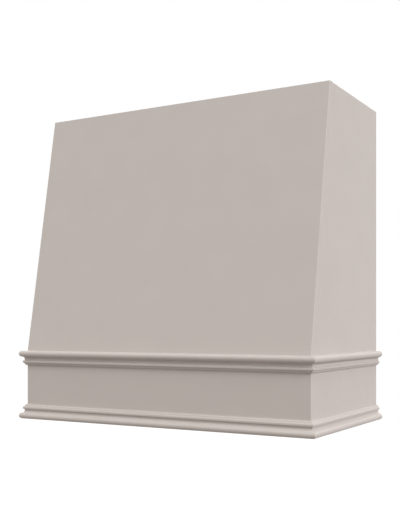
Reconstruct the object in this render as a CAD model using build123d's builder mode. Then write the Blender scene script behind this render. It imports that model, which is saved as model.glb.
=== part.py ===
"""Wooden range hood cover: a box open at the back and top, with a sloping front,
a plain apron between two mitred mouldings, and a hanging cleat on the wall.

Frame, in millimetres: X runs along the front, Y into the wall, Z up.
The origin is on the wall plane, in the middle of the wall cleat's screw pattern.
"""

import os
from math import cos, hypot, radians, sin, sqrt, tan

from build123d import *

os.makedirs("parts", exist_ok=True)

# ---------------------------------------------------------------- casing sizes
width = 914.4  # over the two side panels
height = 914.4  # bottom edge to top edge
base_depth = 501.65  # wall to the face of the apron
top_depth = 374.65  # wall to the front face at the top edge
band_height = 203.2  # bottom edge to the knuckle, where the front starts to lean back

panel = 19.05  # front, apron, side panels and shelf
stock = 19.05  # rails and cleats
edge_ease = 1.0  # rounding of the painted outer edges
arris = 0.8  # chamfer on the edges of the inner wood

# ------------------------------------------------------------------- mouldings
moulding_depth = 18.5
nose_radius = 9.1  # the large half round
cove_radius = 6.9  # the hollow between nose and bead
cove_floor = 6.0  # wood left behind the bottom of the hollow
bead_radius = 4.3
ovolo_radius = 6.35  # quarter round from the bead to the board

# ----------------------------------------------------------- rails and housings
housing_depth = 6.35  # how far the rails are let into the side panels
housing_end_gap = 0.3  # glue room past each end of a rail
hanging_rail_height = 88.9
wall_cleat_height = 88.9
cleat_bevel = 45.0  # degrees, on the two edges that hook together
wall_cleat_side_gap = 12.7  # room to slide the cover sideways on the wall cleat
top_rail_height = 76.2
knuckle_rail_reach = 44.45  # above and below the knuckle
knuckle_rail_depth = 31.75
lower_rail_height = 88.9

# ---------------------------------------------------- shelf, cleats and blocks
shelf_recess = 25.4  # bottom edge up to the underside of the shelf
shelf_gap = 0.8  # room around the shelf
cutout_width = 774.7
cutout_depth = 342.9
cutout_back_margin = 76.2  # wall to the back edge of the cutout
cutout_corner = 6.35
shelf_cleat_height = 38.1
corner_stock = 25.4  # square section of the corner cleats and blocks

# ---------------------------------------------------------------------- screws
screw_radius = 2.0
screw_head_radius = 4.2
screw_head_height = 2.4
screw_tip = 5.0
screw_point_radius = 0.3
screw_length = 31.75
long_screw_length = 44.45
screw_clearance = 0.1  # between a screw and the wall of its hole
screw_end_gap = 1.0  # past the point of a screw
recess_width = 2.7  # square drive
recess_depth = 1.5
countersink_angle = 82.0
counterbore_radius = 5.0
long_screw_seat = 15.875  # wood under the head of a long screw, in the knuckle rail
pocket_angle = 15.0  # degrees between a pocket screw and its rail
pocket_setback = 16.0  # head to the side panel, along a pocket screw
pocket_reach = 40.0  # length of the drilled pocket behind the head

# ------------------------------------------------------------- screw positions
front_screw_count = 5
front_screw_margin = 97.0  # last screw to the outer face of the side panel
side_screw_count = 3
side_screw_margin = 100.0  # last screw to the wall, or to the apron's face
shelf_screw_margin = 60.0
corner_screw_count = 3
corner_screw_margin = 90.0
corner_screw_stagger = 45.0  # between the screws in the two faces of a corner cleat
pocket_screw_margin = 22.0
pocket_screw_spacing = 38.1

# ------------------------------------------------------------- holes for a wall
stud_spacing = 406.4
wall_screw_rows = 31.75
wall_screw_radius = 3.5
lower_screw_radius = 2.6

# ------------------------------------------------------------- worked-out places
hook = stock * tan(radians(cleat_bevel))  # rise of the bevel across the cleat
z_top = hanging_rail_height + (wall_cleat_height - hook) / 2
z_bottom = z_top - height
z_knuckle = z_bottom + band_height
z_shelf = z_bottom + shelf_recess
z_shelf_top = z_shelf + panel
z_cleat_top = z_shelf_top + shelf_cleat_height
z_rail_low = z_knuckle - knuckle_rail_reach
z_rail_high = z_knuckle + knuckle_rail_reach
z_top_rail = z_top - top_rail_height

lean = (base_depth - top_depth) / (height - band_height)  # run back for each mm up
lean_length = hypot(1, lean)
half_lean = lean / (1 + lean_length)  # tangent of half the leaning angle

nose_x = moulding_depth - nose_radius  # centres of the arcs: out from the board ...
cove_x = cove_floor + cove_radius
bead_x = ovolo_radius
nose_y = nose_radius  # ... and along the board from the nose end
cove_y = nose_y + sqrt((nose_radius + cove_radius) ** 2 - (cove_x - nose_x) ** 2)
bead_y = cove_y + sqrt((cove_radius + bead_radius) ** 2 - (cove_x - bead_x) ** 2)
bead_end = bead_y + bead_radius
moulding_height = bead_end + ovolo_radius

x_inner = width / 2 - panel
y_apron = -base_depth
y_apron_inner = y_apron + panel
z_knuckle_inner = z_knuckle - panel * half_lean
y_knuckle_rail = y_apron_inner + knuckle_rail_depth
housed_length = 2 * (x_inner + housing_depth - housing_end_gap)

z_screw_low = z_bottom + nose_radius
z_screw_high = z_knuckle - nose_radius

sides = {"left": -1, "right": 1}


# ------------------------------------------------------------------ small tools
def front_y(z, inset):
    """Y at height z of the plane that lies inset mm behind the sloping front face."""
    return -top_depth - (z_top - z) * lean + inset * lean_length


def spread(count, low, high):
    """Count places at even steps from low to high."""
    step = (high - low) / (count - 1)
    return [low + i * step for i in range(count)]


def board(points, length, centre_x=0.0, mode=Mode.ADD):
    """Add, or cut, a prism along X: an outline in Y and Z, centred on centre_x."""
    plane = Plane(origin=(centre_x, 0, 0), x_dir=(0, 1, 0), z_dir=(1, 0, 0))
    with BuildSketch(plane) as section:
        with BuildLine():
            Polyline(*points, close=True)
        make_face()
    extrude(section.sketch, amount=length / 2, both=True, mode=mode)


def drill(seats, length=screw_length):
    """Drill screw holes at the seats, the planes on which the heads lie."""
    with Locations(*seats):
        Hole(screw_radius + screw_clearance, length + screw_end_gap)


def countersink(seats):
    """Drill screw holes whose heads end flush with the seats."""
    with Locations(*seats):
        CounterSinkHole(
            radius=screw_radius + screw_clearance,
            counter_sink_radius=screw_head_radius + screw_clearance,
            counter_sink_angle=countersink_angle,
        )


def ease_long_edges():
    """Take the sharp corner off the edges that run along X."""
    chamfer(edges().filter_by(Axis.X), arris)


def finish(piece, name):
    """Label a finished piece and write it."""
    piece.part.label = name
    export_step(piece.part, f"parts/{name}.step")


# --------------------------------------------------------- outlines in Y and Z
def rectangle_outline(y_low, y_high, z_low, z_high):
    return [(y_low, z_low), (y_high, z_low), (y_high, z_high), (y_low, z_high)]


def sloping_outline(inset, thickness, z_low, z_high):
    """A board parallel to the sloping front, cut level at both ends."""
    return [
        (front_y(z_low, inset), z_low),
        (front_y(z_low, inset + thickness), z_low),
        (front_y(z_high, inset + thickness), z_high),
        (front_y(z_high, inset), z_high),
    ]


apron_outline = [
    (y_apron, z_bottom),
    (y_apron_inner, z_bottom),
    (y_apron_inner, z_knuckle_inner),
    (y_apron, z_knuckle),
]
front_outline = [
    (y_apron, z_knuckle),
    (y_apron_inner, z_knuckle_inner),
    (front_y(z_top, panel), z_top),
    (-top_depth, z_top),
]
side_outline = [
    (0, z_bottom),
    (0, z_top),
    (front_y(z_top, panel), z_top),
    (y_apron_inner, z_knuckle_inner),
    (y_apron_inner, z_bottom),
]
hanging_rail_outline = [
    (0, z_top),
    (0, z_top - hanging_rail_height),
    (-stock, z_top - hanging_rail_height + hook),
    (-stock, z_top),
]
wall_cleat_outline = [
    (0, z_top - hanging_rail_height),
    (0, z_top - hanging_rail_height + hook - wall_cleat_height),
    (-stock, z_top - hanging_rail_height + hook - wall_cleat_height),
    (-stock, z_top - hanging_rail_height + hook),
]
lower_rail_outline = rectangle_outline(
    -stock, 0, z_shelf_top, z_shelf_top + lower_rail_height
)
top_rail_outline = sloping_outline(panel, stock, z_top_rail, z_top)
knuckle_rail_outline = [
    (y_apron_inner, z_rail_low),
    (y_knuckle_rail, z_rail_low),
    (y_knuckle_rail, z_rail_high),
    (front_y(z_rail_high, panel), z_rail_high),
    (y_apron_inner, z_knuckle_inner),
]
housed_outlines = [
    hanging_rail_outline,
    lower_rail_outline,
    top_rail_outline,
    knuckle_rail_outline,
]


# ------------------------------------------------------------------ screw seats
front_xs = spread(
    front_screw_count, front_screw_margin - width / 2, width / 2 - front_screw_margin
)
side_ys = spread(side_screw_count, y_apron + side_screw_margin, -side_screw_margin)
cleat_ys = spread(
    side_screw_count, y_apron + stock + shelf_screw_margin, -shelf_screw_margin - stock
)


def facing_in(sign, y, z):
    """A seat on the inner face of a side panel."""
    return Plane(origin=(sign * x_inner, y, z), z_dir=(-sign, 0, 0))


def side_moulding_seats(sign, z):
    return [facing_in(sign, y, z) for y in side_ys]


lower_front_seats = [
    Plane(origin=(x, y_apron_inner, z_screw_low), z_dir=(0, 1, 0)) for x in front_xs
]
upper_front_seats = [
    Plane(origin=(x, y_apron_inner + long_screw_seat, z_screw_high), z_dir=(0, 1, 0))
    for x in front_xs
]


def shelf_side_seats(sign):
    """Under the shelf, below a side cleat."""
    x = sign * (x_inner - stock / 2)
    return [Plane(origin=(x, y, z_shelf), z_dir=(0, 0, -1)) for y in cleat_ys]


def shelf_cross_seats(y):
    """Under the shelf, in a row along X."""
    return [Plane(origin=(x, y, z_shelf), z_dir=(0, 0, -1)) for x in front_xs]


shelf_front_seats = shelf_cross_seats(y_apron_inner + stock / 2)
shelf_back_seats = shelf_cross_seats(-stock / 2)


def side_cleat_seats(sign):
    """On a side cleat, into the side panel."""
    x = sign * (x_inner - stock)
    z = z_shelf_top + shelf_cleat_height * 2 / 3
    middles = [y + shelf_screw_margin / 2 for y in cleat_ys[:-1]]
    return [Plane(origin=(x, y, z), z_dir=(-sign, 0, 0)) for y in middles]


front_cleat_seats = [
    Plane(
        origin=(
            x + front_screw_margin / 2,
            y_apron_inner + stock,
            z_shelf_top + shelf_cleat_height * 2 / 3,
        ),
        z_dir=(0, 1, 0),
    )
    for x in front_xs[:-1]
]

corner_zs = spread(
    corner_screw_count, z_rail_high + corner_screw_margin, z_top_rail - corner_screw_margin
)
slope_normal = (0, 1 / lean_length, -lean / lean_length)  # from the front face inwards


def corner_side_seats(sign):
    """On a corner cleat, into the side panel."""
    x = sign * (x_inner - corner_stock)
    inset = panel + corner_stock / 2
    return [
        Plane(origin=(x, front_y(z, inset), z), z_dir=(-sign, 0, 0)) for z in corner_zs
    ]


def corner_front_seats(sign):
    """On a corner cleat, into the sloping front."""
    x = sign * (x_inner - corner_stock / 2)
    inset = panel + corner_stock
    heights = [z - corner_screw_stagger for z in corner_zs]
    return [Plane(origin=(x, front_y(z, inset), z), z_dir=slope_normal) for z in heights]


z_top_rail_screw = z_top - top_rail_height / 2
top_rail_seats = [
    Plane(
        origin=(x, front_y(z_top_rail_screw, panel + stock), z_top_rail_screw),
        z_dir=slope_normal,
    )
    for x in front_xs
]


def pocket_seats(sign, z_high):
    """At one end of an upright rail, slanting out of its back face into the side panel."""
    run = cos(radians(pocket_angle))
    rise = sin(radians(pocket_angle))
    x = sign * (x_inner - pocket_setback * run)
    y = -stock / 2 + pocket_setback * rise
    return [
        Plane(origin=(x, y, z), z_dir=(-sign * run, rise, 0))
        for z in (z_high, z_high - pocket_screw_spacing)
    ]


z_hanging_pocket = z_top - pocket_screw_margin
z_lower_pocket = z_shelf_top + lower_rail_height - pocket_screw_margin


# ------------------------------------------------------------------ outer boards
def side_panel(sign):
    """A side: one board from the bottom edge to the top, housed for the rails."""
    with BuildPart() as side:
        board(side_outline, panel, sign * (width / 2 - panel / 2))
        top_edges = edges().filter_by(Axis.Y).group_by(Axis.Z)[-1]
        fillet(top_edges.sort_by(Axis.X)[-1 if sign > 0 else 0], edge_ease)
        for outline in housed_outlines:
            board(outline, 2 * housing_depth, sign * x_inner, Mode.SUBTRACT)
        drill(side_moulding_seats(sign, z_screw_low))
        drill(side_moulding_seats(sign, z_screw_high))
        drill(side_cleat_seats(sign))
        drill(corner_side_seats(sign))
        drill(pocket_seats(sign, z_hanging_pocket))
        drill(pocket_seats(sign, z_lower_pocket))
    return side


for name, sign in sides.items():
    finish(side_panel(sign), f"side_panel_{name}")

with BuildPart() as front_panel:
    board(front_outline, width)
    show_face = faces().filter_by(lambda face: face.normal_at().Y < -0.5)[0]
    fillet(show_face.edges().filter_by(Axis.X, reverse=True), edge_ease)
    for sign in sides.values():
        drill(corner_front_seats(sign))
    drill(top_rail_seats)
finish(front_panel, "front_panel")

with BuildPart() as apron_board:
    board(apron_outline, width)
    fillet(edges().group_by(Axis.Y)[0].filter_by(Axis.Z), edge_ease)
    drill(lower_front_seats)
    drill(upper_front_seats, long_screw_length)
    drill(front_cleat_seats)
finish(apron_board, "apron_board")


# --------------------------------------------------------------------- mouldings
def moulding_section(plane):
    """The moulding's section: x out from the board, y along it from the nose end."""
    to_cove = nose_radius / (nose_radius + cove_radius)
    to_bead = cove_radius / (cove_radius + bead_radius)
    nose_end = (nose_x + (cove_x - nose_x) * to_cove, nose_y + (cove_y - nose_y) * to_cove)
    cove_end = (cove_x + (bead_x - cove_x) * to_bead, cove_y + (bead_y - cove_y) * to_bead)
    with BuildSketch(plane) as section:
        with BuildLine():
            nose = TangentArc((nose_x, 0), nose_end, tangent=(1, 0))
            cove = TangentArc(nose_end, cove_end, tangent=nose % 1)
            TangentArc(cove_end, (bead_x, bead_end), tangent=cove % 1)
            TangentArc((ovolo_radius, bead_end), (0, moulding_height), tangent=(0, 1))
            Polyline((0, moulding_height), (0, 0), (nose_x, 0))
        make_face()
    return section.sketch


def mitre(sign):
    """The plane that cuts both mouldings of a corner, facing the side piece."""
    return Plane(origin=(sign * width / 2, y_apron, 0), z_dir=(sign, 1, 0))


def front_moulding(z_nose, up, seats, length):
    """A run across the front, with up = 1 where the nose is at the bottom."""
    with BuildPart() as run:
        plane = Plane(origin=(0, y_apron, z_nose), x_dir=(0, -1, 0), z_dir=(-up, 0, 0))
        extrude(moulding_section(plane), amount=width / 2 + moulding_depth, both=True)
        for sign in sides.values():
            split(bisect_by=mitre(sign), keep=Keep.BOTTOM)
        drill(seats, length)
    return run


def side_moulding(sign, z_nose, up, seats):
    """A run along a side panel, from the wall to the mitred corner."""
    with BuildPart() as run:
        plane = Plane(
            origin=(sign * width / 2, 0, z_nose),
            x_dir=(sign, 0, 0),
            z_dir=(0, -sign * up, 0),
        )
        extrude(
            moulding_section(plane), amount=base_depth + moulding_depth, dir=(0, -1, 0)
        )
        split(bisect_by=mitre(sign), keep=Keep.TOP)
        drill(seats)
    return run


finish(
    front_moulding(z_bottom, 1, lower_front_seats, screw_length), "lower_moulding_front"
)
finish(
    front_moulding(z_knuckle, -1, upper_front_seats, long_screw_length),
    "upper_moulding_front",
)
for name, sign in sides.items():
    lower_seats = side_moulding_seats(sign, z_screw_low)
    upper_seats = side_moulding_seats(sign, z_screw_high)
    finish(side_moulding(sign, z_bottom, 1, lower_seats), f"lower_moulding_{name}")
    finish(side_moulding(sign, z_knuckle, -1, upper_seats), f"upper_moulding_{name}")


# ------------------------------------------------------------------------- rails
def drill_pockets(z_high):
    """Pockets for the slanting screws at both ends of an upright rail."""
    for sign in sides.values():
        mouths = [seat.offset(pocket_reach) for seat in pocket_seats(sign, z_high)]
        with Locations(*mouths):
            CounterBoreHole(
                radius=screw_radius + screw_clearance,
                counter_bore_radius=counterbore_radius,
                counter_bore_depth=pocket_reach,
                depth=pocket_reach + screw_length + screw_end_gap,
            )


with BuildPart() as hanging_rail:
    board(hanging_rail_outline, housed_length)
    drill_pockets(z_hanging_pocket)
finish(hanging_rail, "hanging_rail")

with BuildPart() as lower_rear_rail:
    board(lower_rail_outline, housed_length)
    ease_long_edges()
    drill_pockets(z_lower_pocket)
    drill(shelf_back_seats)
    z_middle = z_shelf_top + lower_rail_height / 2
    with Locations(Plane(origin=(0, -stock, z_middle), x_dir=(1, 0, 0), z_dir=(0, -1, 0))):
        with GridLocations(stud_spacing, 0, 2, 1):
            Hole(lower_screw_radius)
finish(lower_rear_rail, "lower_rear_rail")

with BuildPart() as top_front_rail:
    board(top_rail_outline, housed_length)
    ease_long_edges()
    drill(top_rail_seats)
finish(top_front_rail, "top_front_rail")

with BuildPart() as knuckle_rail:
    board(knuckle_rail_outline, housed_length)
    rear_face = [
        Plane(origin=(x, y_knuckle_rail, z_screw_high), z_dir=(0, 1, 0)) for x in front_xs
    ]
    with Locations(*rear_face):
        CounterBoreHole(
            radius=screw_radius + screw_clearance,
            counter_bore_radius=counterbore_radius,
            counter_bore_depth=knuckle_rail_depth - long_screw_seat,
        )
finish(knuckle_rail, "knuckle_rail")

with BuildPart() as wall_cleat:
    board(wall_cleat_outline, 2 * (x_inner - wall_cleat_side_gap))
    with Locations(Plane(origin=(0, -stock, 0), x_dir=(1, 0, 0), z_dir=(0, -1, 0))):
        with GridLocations(stud_spacing, wall_screw_rows, 2, 2):
            Hole(wall_screw_radius)
finish(wall_cleat, "wall_cleat")


# -------------------------------------------------------- shelf, cleats and blocks
with BuildPart() as liner_shelf:
    shelf_depth = -y_apron_inner - 2 * shelf_gap
    cutout_y = -cutout_back_margin - cutout_depth / 2
    with BuildSketch(Plane.XY.offset(z_shelf)):
        with Locations((0, y_apron_inner / 2)):
            Rectangle(2 * (x_inner - shelf_gap), shelf_depth)
        with Locations((0, cutout_y)):
            RectangleRounded(
                cutout_width, cutout_depth, cutout_corner, mode=Mode.SUBTRACT
            )
    extrude(amount=panel)
    for sign in sides.values():
        countersink(shelf_side_seats(sign))
    countersink(shelf_front_seats)
    countersink(shelf_back_seats)
finish(liner_shelf, "liner_shelf")

for name, sign in sides.items():
    side_cleat_outline = rectangle_outline(
        y_apron_inner + stock, -stock, z_shelf_top, z_cleat_top
    )
    with BuildPart() as side_cleat:
        board(side_cleat_outline, stock, sign * (x_inner - stock / 2))
        chamfer(edges().filter_by(Axis.Y), arris)
        drill(shelf_side_seats(sign))
        drill(side_cleat_seats(sign))
    finish(side_cleat, f"shelf_cleat_{name}")

with BuildPart() as front_cleat:
    front_cleat_outline = rectangle_outline(
        y_apron_inner, y_apron_inner + stock, z_shelf_top, z_cleat_top
    )
    board(front_cleat_outline, 2 * x_inner)
    ease_long_edges()
    drill(shelf_front_seats)
    drill(front_cleat_seats)
finish(front_cleat, "shelf_cleat_front")

for name, sign in sides.items():
    corner_outline = sloping_outline(panel, corner_stock, z_rail_high, z_top_rail)
    block_outline = rectangle_outline(
        y_apron_inner, y_apron_inner + corner_stock, z_cleat_top, z_rail_low
    )
    corner_x = sign * (x_inner - corner_stock / 2)
    with BuildPart() as corner_cleat:
        board(corner_outline, corner_stock, corner_x)
        drill(corner_side_seats(sign))
        drill(corner_front_seats(sign))
    finish(corner_cleat, f"corner_cleat_{name}")
    with BuildPart() as corner_block:
        board(block_outline, corner_stock, corner_x)
        chamfer(edges().filter_by(Axis.Z), arris)
    finish(corner_block, f"apron_corner_block_{name}")


# ------------------------------------------------------------------------ screws
def flat_bearing_head():
    """Half outline of a head that stands on the wood."""
    return [
        (0, screw_head_height),
        (screw_head_radius, screw_head_height),
        (screw_head_radius, 0),
        (screw_radius, 0),
    ]


def countersunk_head():
    """Half outline of a head that ends flush with the wood."""
    sink = (screw_head_radius - screw_radius) / tan(radians(countersink_angle / 2))
    return [(0, 0), (screw_head_radius, 0), (screw_radius, -sink)]


def make_screw(head, length):
    """A square-drive wood screw that points down from z = 0."""
    with BuildPart() as screw:
        with BuildSketch(Plane.XZ):
            with BuildLine():
                Polyline(
                    *head,
                    (screw_radius, screw_tip - length),
                    (screw_point_radius, -length),
                    (0, -length),
                    close=True,
                )
            make_face()
        revolve(axis=Axis.Z)
        top = head[0][1]
        if top > 0:
            rim = edges().filter_by(GeomType.CIRCLE).group_by(Axis.Z)[-1]
            fillet(rim, top / 2)
        with BuildSketch(Plane.XY.offset(top)):
            Rectangle(recess_width, recess_width)
        extrude(amount=-recess_depth, mode=Mode.SUBTRACT)
    return screw.part


def screw_group(seats, name, length=screw_length, head=flat_bearing_head()):
    """One node that holds a screw at each seat."""
    screw = make_screw(head, length)
    with BuildPart() as group:
        with Locations(*seats):
            add(screw)
    finish(group, name)


def both_sides(seats_of, *arguments):
    """The seats that a function gives for the left side, then for the right."""
    return [seat for sign in sides.values() for seat in seats_of(sign, *arguments)]


screw_group(
    both_sides(side_moulding_seats, z_screw_low)
    + both_sides(side_moulding_seats, z_screw_high)
    + lower_front_seats,
    "moulding_screws",
)
screw_group(upper_front_seats, "knuckle_rail_screws", long_screw_length)
screw_group(
    both_sides(shelf_side_seats) + shelf_front_seats + shelf_back_seats,
    "shelf_screws",
    head=countersunk_head(),
)
screw_group(both_sides(side_cleat_seats) + front_cleat_seats, "shelf_cleat_screws")
screw_group(both_sides(corner_side_seats), "side_panel_screws")
screw_group(both_sides(corner_front_seats) + top_rail_seats, "front_panel_screws")
screw_group(
    both_sides(pocket_seats, z_hanging_pocket) + both_sides(pocket_seats, z_lower_pocket),
    "pocket_screws",
)
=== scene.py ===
# %% [markdown]
# # A painted wooden cover for a range hood
#
# This lesson dresses a wooden cover that hangs over the blower of a kitchen hood.
# Its boards, rails and screws were drawn as exact solids first, and they arrive here
# as a fixed frame: what is modelled below sits on it, in the same metres.
#
# The cover is seen from its right and slightly from above its lower edge. X runs
# along the front, Y runs into the wall, Z is up, and the wall is the plane Y = 0.

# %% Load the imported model
import math

import bpy
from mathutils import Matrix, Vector


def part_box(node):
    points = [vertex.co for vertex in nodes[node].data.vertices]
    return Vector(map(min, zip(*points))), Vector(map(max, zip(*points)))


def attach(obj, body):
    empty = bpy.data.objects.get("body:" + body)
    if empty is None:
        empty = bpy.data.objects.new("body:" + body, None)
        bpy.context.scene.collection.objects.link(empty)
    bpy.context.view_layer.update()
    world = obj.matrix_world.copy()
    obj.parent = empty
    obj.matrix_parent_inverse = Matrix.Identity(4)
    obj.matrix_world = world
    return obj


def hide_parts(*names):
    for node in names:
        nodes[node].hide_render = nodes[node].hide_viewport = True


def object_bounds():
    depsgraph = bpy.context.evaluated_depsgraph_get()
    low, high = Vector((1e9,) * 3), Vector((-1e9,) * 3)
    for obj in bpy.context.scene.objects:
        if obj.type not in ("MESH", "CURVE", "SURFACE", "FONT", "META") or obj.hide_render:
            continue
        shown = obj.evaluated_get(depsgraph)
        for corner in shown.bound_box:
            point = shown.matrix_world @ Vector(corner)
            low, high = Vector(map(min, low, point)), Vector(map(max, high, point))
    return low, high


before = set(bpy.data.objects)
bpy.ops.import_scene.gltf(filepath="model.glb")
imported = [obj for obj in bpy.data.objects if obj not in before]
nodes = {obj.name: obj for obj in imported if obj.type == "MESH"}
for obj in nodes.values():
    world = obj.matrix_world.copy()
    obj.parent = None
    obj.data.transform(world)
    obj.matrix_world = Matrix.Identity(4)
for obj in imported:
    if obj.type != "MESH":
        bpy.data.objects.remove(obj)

cad_box = [list(corner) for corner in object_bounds()]
scene = bpy.context.scene
print("solids:", len(nodes), "box:", [[round(x, 4) for x in corner] for corner in cad_box])

# %% [markdown]
# ## The camera
#
# A camera that looks level keeps upright edges upright in the picture. To show more
# of what is above or below, the lens is shifted and the camera isn't tilted. The
# place, turn and lens below were fitted to the cover's straight edges.

# %% Place the camera
picture_height = 532  # pixels along the long side of the picture
focal_length = 843.7  # in the same pixels
eye_level = 326.6  # the row that is level with the camera
stands_at = (1.2605, -2.4376, -0.5151)  # metres
facing_left = 0.5242  # radians from straight ahead

bpy.ops.object.camera_add(location=stands_at, rotation=(math.radians(90), 0, facing_left))
camera = bpy.context.object
camera.name = "camera"
camera.data.sensor_width = 36  # millimetres along the long side
camera.data.lens = focal_length / picture_height * camera.data.sensor_width
camera.data.shift_y = eye_level / picture_height - 0.5
scene.camera = camera
print("lens:", round(camera.data.lens, 2), "mm, shift:", round(camera.data.shift_y, 4))

# %% [markdown]
# ## Shader nodes by hand
#
# A material is a small machine of nodes. Three helpers keep the cells below short: one
# feeds a socket, one adds a node and feeds all its sockets, and one does a sum.

# %% Helpers for nodes
def feed(tree, socket, value):
    """Connect a socket to another one, or give it a fixed value."""
    if isinstance(value, bpy.types.NodeSocket):
        tree.links.new(value, socket)
    else:
        socket.default_value = value


def add_node(tree, kind, inputs=None, **settings):
    """Add a node, choose its settings, and feed its inputs by name or number."""
    new = tree.nodes.new("ShaderNode" + kind)
    for name, value in settings.items():
        setattr(new, name, value)
    for name, value in (inputs or {}).items():
        feed(tree, new.inputs[name], value)
    return new


def calc(tree, operation, *values):
    """One Math node; returns what it puts out."""
    return add_node(tree, "Math", dict(enumerate(values)), operation=operation).outputs[0]


# %% [markdown]
# ## The studio
#
# The cover hangs on a wall, so the floor is far below it, as in a kitchen. The floor
# is pale and takes a soft shadow. To the camera it also glows a little, so that it
# ends up as white as the backdrop without any more light on the cover. Seen from
# underneath it lets the view through, so that the open bottom can be looked at.

# %% Floor
floor_drop = 1.68  # from the cover's lower edge to the floor of a kitchen
floor_size = 24
floor_colour = (0.31, 0.28, 0.265, 1)
floor_glow = 0.72


def seen_directly(tree):
    """1 for what the camera, a reflection or glass sees, and 0 for light on its way."""
    rays = add_node(tree, "LightPath").outputs
    seen = calc(tree, "MAXIMUM", rays["Is Camera Ray"], rays["Is Glossy Ray"])
    return calc(tree, "MAXIMUM", seen, rays["Is Transmission Ray"])


floor_level = cad_box[0][2] - floor_drop
bpy.ops.mesh.primitive_plane_add(size=floor_size, location=(0, 0, floor_level))
floor = bpy.context.object
floor.name = "floor"

pale_floor = bpy.data.materials.new("pale_floor")
pale_floor.use_nodes = True
tree = pale_floor.node_tree
tree.nodes.clear()
matt = add_node(tree, "BsdfDiffuse", {"Color": floor_colour})
shine = calc(tree, "MULTIPLY", seen_directly(tree), floor_glow)
glow = add_node(tree, "Emission", {"Strength": shine})
lit = add_node(tree, "AddShader", {0: matt.outputs[0], 1: glow.outputs[0]})
clear = add_node(tree, "BsdfTransparent")
behind = add_node(tree, "NewGeometry").outputs["Backfacing"]
either = add_node(tree, "MixShader", {0: behind, 1: lit.outputs[0], 2: clear.outputs[0]})
add_node(tree, "OutputMaterial", {"Surface": either.outputs[0]})
floor.data.materials.append(pale_floor)
print("floor at", round(floor_level, 3), "m")

# %% [markdown]
# The air of the room gives an even light from all sides. The backdrop is the same
# world, but where it is seen it is plain white, stronger than the light it gives.

# %% Backdrop
room_light = 0.42
white = (1, 1, 1, 1)

world = bpy.data.worlds.new("studio")
world.use_nodes = True
tree = world.node_tree
tree.nodes.clear()
strength = add_node(
    tree, "MapRange", {"Value": seen_directly(tree), "To Min": room_light, "To Max": 1.0}
).outputs[0]
backdrop = add_node(tree, "Background", {"Color": white, "Strength": strength})
add_node(tree, "OutputWorld", {"Surface": backdrop.outputs[0]})
scene.world = world
scene.view_settings.view_transform = "Standard"
print("room light:", room_light, "of the white backdrop")

# %% [markdown]
# ## Soft lamps
#
# The light comes from the right and from above, and from nowhere very strongly: the
# side is a little lighter than the front, the undersides of the mouldings are a soft
# shade, and no shadow has a hard edge. Suns with a wide disc do this evenly from top
# to bottom, where a lamp standing near would leave a bright patch. A weak one behind
# keeps the back readable when somebody looks there.

# %% Lamps
lamp_distance = 4  # only a place to stand, since a sun shines the same from anywhere


def soft_sun(name, around, above, strength, spread=25, tint=(1, 1, 1)):
    """Around is degrees from the front towards the right, above is degrees over level."""
    level, rise = math.cos(math.radians(above)), math.sin(math.radians(above))
    side, front = math.sin(math.radians(around)), math.cos(math.radians(around))
    towards = Vector((side * level, -front * level, rise))
    turn = towards.to_track_quat("Z", "Y").to_euler()
    bpy.ops.object.light_add(type="SUN", location=towards * lamp_distance, rotation=turn)
    lamp = bpy.context.object
    lamp.name = name
    lamp.data.energy = strength
    lamp.data.angle = math.radians(spread)
    lamp.data.color = tint


soft_sun("side_lamp", 85, 30, 1.98, tint=(0.985, 0.98, 1.03))
soft_sun("high_lamp", 25, 60, 1.09)
soft_sun("front_lamp", 0, 45, 0.74)
soft_sun("back_lamp", 215, 30, 0.9, spread=40)

# %% [markdown]
# ## A group for the sprayed coat
#
# Every visible outside face has the same satin coat, sprayed over primer. Up close it
# isn't flat: the droplets leave a faint peel, the grain below shows a little, and the
# tone drifts by a hair. These effects are a node group, because boards, mouldings and
# the filler in the corners all use them. Noise in the object's own coordinates needs
# no unwrapping and has the same scale on every piece.
#
# The helpers open and close a group, and make what all patterns are made of: noise that
# is stretched along the grain, a range that is mapped to another, and mixed colours.

# %% Helpers for groups and patterns
def new_group(name, takes, gives):
    """A node group with named sockets; returns its tree, its inputs and its end node."""
    tree = bpy.data.node_groups.new(name, "ShaderNodeTree")
    for way, sockets in (("INPUT", takes), ("OUTPUT", gives)):
        for socket, kind in sockets.items():
            tree.interface.new_socket(socket, in_out=way, socket_type="NodeSocket" + kind)
    return tree, tree.nodes.new("NodeGroupInput").outputs, tree.nodes.new("NodeGroupOutput")


def send(tree, end, **results):
    """Connect results to the named sockets of a group's end node, and close the group."""
    for name, socket in results.items():
        tree.links.new(socket, end.inputs[name])
    print(tree.name, "puts out", ", ".join(results), "from", len(tree.nodes), "nodes")


def stretched_noise(tree, vector, scales, detail=2.0, distortion=0.0):
    """Noise with its own scale along each axis, in patches per metre."""
    stretch = add_node(tree, "VectorMath", {0: vector, 1: scales}, operation="MULTIPLY")
    settings = {"Vector": stretch.outputs[0], "Scale": 1.0, "Detail": detail}
    return add_node(tree, "TexNoise", settings | {"Distortion": distortion}).outputs["Fac"]


def rescale(tree, value, low, high, new_low, new_high):
    """Map a range of values to another one, and hold it there."""
    limits = {"From Min": low, "From Max": high, "To Min": new_low, "To Max": new_high}
    return add_node(tree, "MapRange", {"Value": value} | limits).outputs[0]


def vary(tree, noise, low, high):
    """Stretch a noise, which seldom leaves 0.3 to 0.7, over a range of values."""
    return rescale(tree, noise, 0.3, 0.7, low, high)


def blend_colours(tree, factor, first, second, how="MIX"):
    """Mix two colours, or lay the second over the first in another way."""
    inputs = {0: factor, 6: first, 7: second}  # the numbers of a Mix node's colour sockets
    return add_node(tree, "Mix", inputs, data_type="RGBA", blend_type=how).outputs[2]


def mottle(tree, noise, first, second):
    """Two colours that change from one to the other in soft patches."""
    return blend_colours(tree, rescale(tree, noise, 0.35, 0.65, 0, 1), first, second)


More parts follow.
